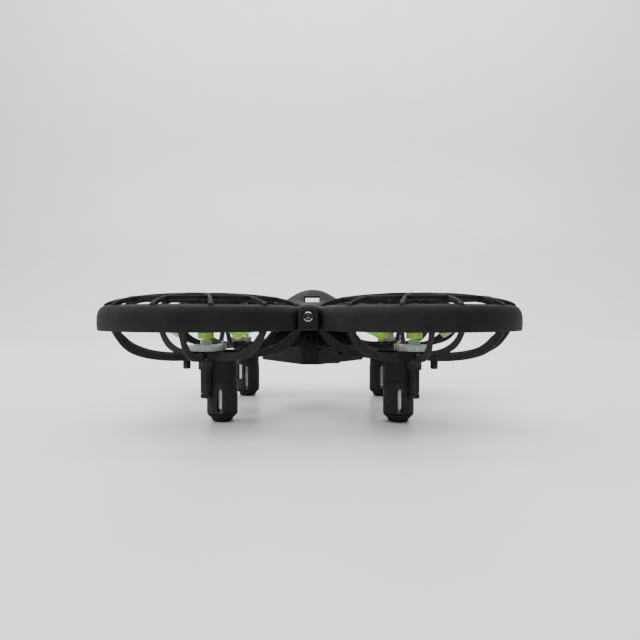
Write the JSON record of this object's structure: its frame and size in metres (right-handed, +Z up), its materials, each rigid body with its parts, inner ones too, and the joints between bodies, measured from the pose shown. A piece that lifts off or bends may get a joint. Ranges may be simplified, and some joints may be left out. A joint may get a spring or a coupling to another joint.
{
  "type": "palm-sized quadcopter",
  "caption": "Palm-sized quadcopter: domed guard rings round geared green propellers, motor legs that serve as feet, and a faceted central pod with obstacle sensors.",
  "frame": {"origin": "on the surface the drone stands on, midway between its four feet", "axes": "+Z up along the propeller axes, -Y towards the front with the light window, +X to the right of a viewer who faces the front"},
  "size_m": [0.1542, 0.1542, 0.0519],
  "materials": {
    "shell_black": "satin moulded ABS with a fine even texture",
    "screw_black": "black oxide screw",
    "switch_black": "satin moulded slider",
    "propeller_green": "translucent lime green moulded plastic",
    "gear_nylon": "off-white nylon",
    "light_white": "milky light guide",
    "lens_dark": "dark infrared lens",
    "motor_steel": "plated motor can",
    "shaft_steel": "ground steel",
    "socket_steel": "plated sheet",
    "battery_foil": "foil pouch",
    "board_green": "solder mask"
  },
  "bodies": {
    "frame": {"front_left_guard_ring": "shell_black", "front_left_guard_grille": "shell_black", "front_left_arm_basket": "shell_black", "front_left_motor_holder": "shell_black", "front_left_motor_foot": "shell_black", "front_left_motor": "motor_steel", "front_left_shaft_bushing": "shell_black", "front_left_boss_screw": "screw_black", "front_right_guard_ring": "shell_black", "front_right_guard_grille": "shell_black", "front_right_arm_basket": "shell_black", "front_right_motor_holder": "shell_black", "front_right_motor_foot": "shell_black", "front_right_motor": "motor_steel", "front_right_shaft_bushing": "shell_black", "front_right_boss_screw": "screw_black", "rear_left_guard_ring": "shell_black", "rear_left_guard_grille": "shell_black", "rear_left_arm_basket": "shell_black", "rear_left_motor_holder": "shell_black", "rear_left_motor_foot": "shell_black", "rear_left_motor": "motor_steel", "rear_left_shaft_bushing": "shell_black", "rear_left_boss_screw": "screw_black", "rear_right_guard_ring": "shell_black", "rear_right_guard_grille": "shell_black", "rear_right_arm_basket": "shell_black", "rear_right_motor_holder": "shell_black", "rear_right_motor_foot": "shell_black", "rear_right_motor": "motor_steel", "rear_right_shaft_bushing": "shell_black", "rear_right_boss_screw": "screw_black", "canopy": "shell_black", "light_bar": "light_white", "lower_shell": "shell_black", "charge_socket": "socket_steel", "battery": "battery_foil", "circuit_board": "board_green", "bottom_sensor": "lens_dark", "right_sensor": "lens_dark", "rear_sensor": "lens_dark", "left_sensor": "lens_dark", "front_sensor": "lens_dark"},
    "front_left_rotor": {"front_left_propeller": "propeller_green", "front_left_propeller_shaft": "shaft_steel", "front_left_spur_gear": "gear_nylon"},
    "front_left_pinion_body": {"front_left_pinion": "gear_nylon"},
    "front_right_rotor": {"front_right_propeller": "propeller_green", "front_right_propeller_shaft": "shaft_steel", "front_right_spur_gear": "gear_nylon"},
    "front_right_pinion_body": {"front_right_pinion": "gear_nylon"},
    "rear_left_rotor": {"rear_left_propeller": "propeller_green", "rear_left_propeller_shaft": "shaft_steel", "rear_left_spur_gear": "gear_nylon"},
    "rear_left_pinion_body": {"rear_left_pinion": "gear_nylon"},
    "rear_right_rotor": {"rear_right_propeller": "propeller_green", "rear_right_propeller_shaft": "shaft_steel", "rear_right_spur_gear": "gear_nylon"},
    "rear_right_pinion_body": {"rear_right_pinion": "gear_nylon"},
    "switch": {"power_switch": "switch_black"}
  },
  "joints": [
    {"name": "front_left_rotor_spin", "type": "hinge", "parent": "frame", "child": "front_left_rotor", "pos_m": [-0.039, -0.039, 0.03], "axis": [0, 0, 1], "continuous": true},
    {"name": "front_left_pinion_spin", "type": "hinge", "parent": "frame", "child": "front_left_pinion_body", "pos_m": [-0.0338, -0.0338, 0.028], "axis": [0, 0, 1], "continuous": true},
    {"name": "front_right_rotor_spin", "type": "hinge", "parent": "frame", "child": "front_right_rotor", "pos_m": [0.039, -0.039, 0.03], "axis": [0, 0, 1], "continuous": true},
    {"name": "front_right_pinion_spin", "type": "hinge", "parent": "frame", "child": "front_right_pinion_body", "pos_m": [0.0338, -0.0338, 0.028], "axis": [0, 0, 1], "continuous": true},
    {"name": "rear_left_rotor_spin", "type": "hinge", "parent": "frame", "child": "rear_left_rotor", "pos_m": [-0.039, 0.039, 0.03], "axis": [0, 0, 1], "continuous": true},
    {"name": "rear_left_pinion_spin", "type": "hinge", "parent": "frame", "child": "rear_left_pinion_body", "pos_m": [-0.0338, 0.0338, 0.028], "axis": [0, 0, 1], "continuous": true},
    {"name": "rear_right_rotor_spin", "type": "hinge", "parent": "frame", "child": "rear_right_rotor", "pos_m": [0.039, 0.039, 0.03], "axis": [0, 0, 1], "continuous": true},
    {"name": "rear_right_pinion_spin", "type": "hinge", "parent": "frame", "child": "rear_right_pinion_body", "pos_m": [0.0338, 0.0338, 0.028], "axis": [0, 0, 1], "continuous": true},
    {"name": "power_switch_slide", "type": "slide", "parent": "frame", "child": "switch", "axis": [0, -1, 0], "range_m": [0, 0.002]}
  ],
  "couplings": [
    {"joint": "front_left_pinion_spin", "follows": "front_left_rotor_spin", "ratio": -4.4444},
    {"joint": "front_right_pinion_spin", "follows": "front_right_rotor_spin", "ratio": -4.4444},
    {"joint": "rear_left_pinion_spin", "follows": "rear_left_rotor_spin", "ratio": -4.4444},
    {"joint": "rear_right_pinion_spin", "follows": "rear_right_rotor_spin", "ratio": -4.4444}
  ]
}
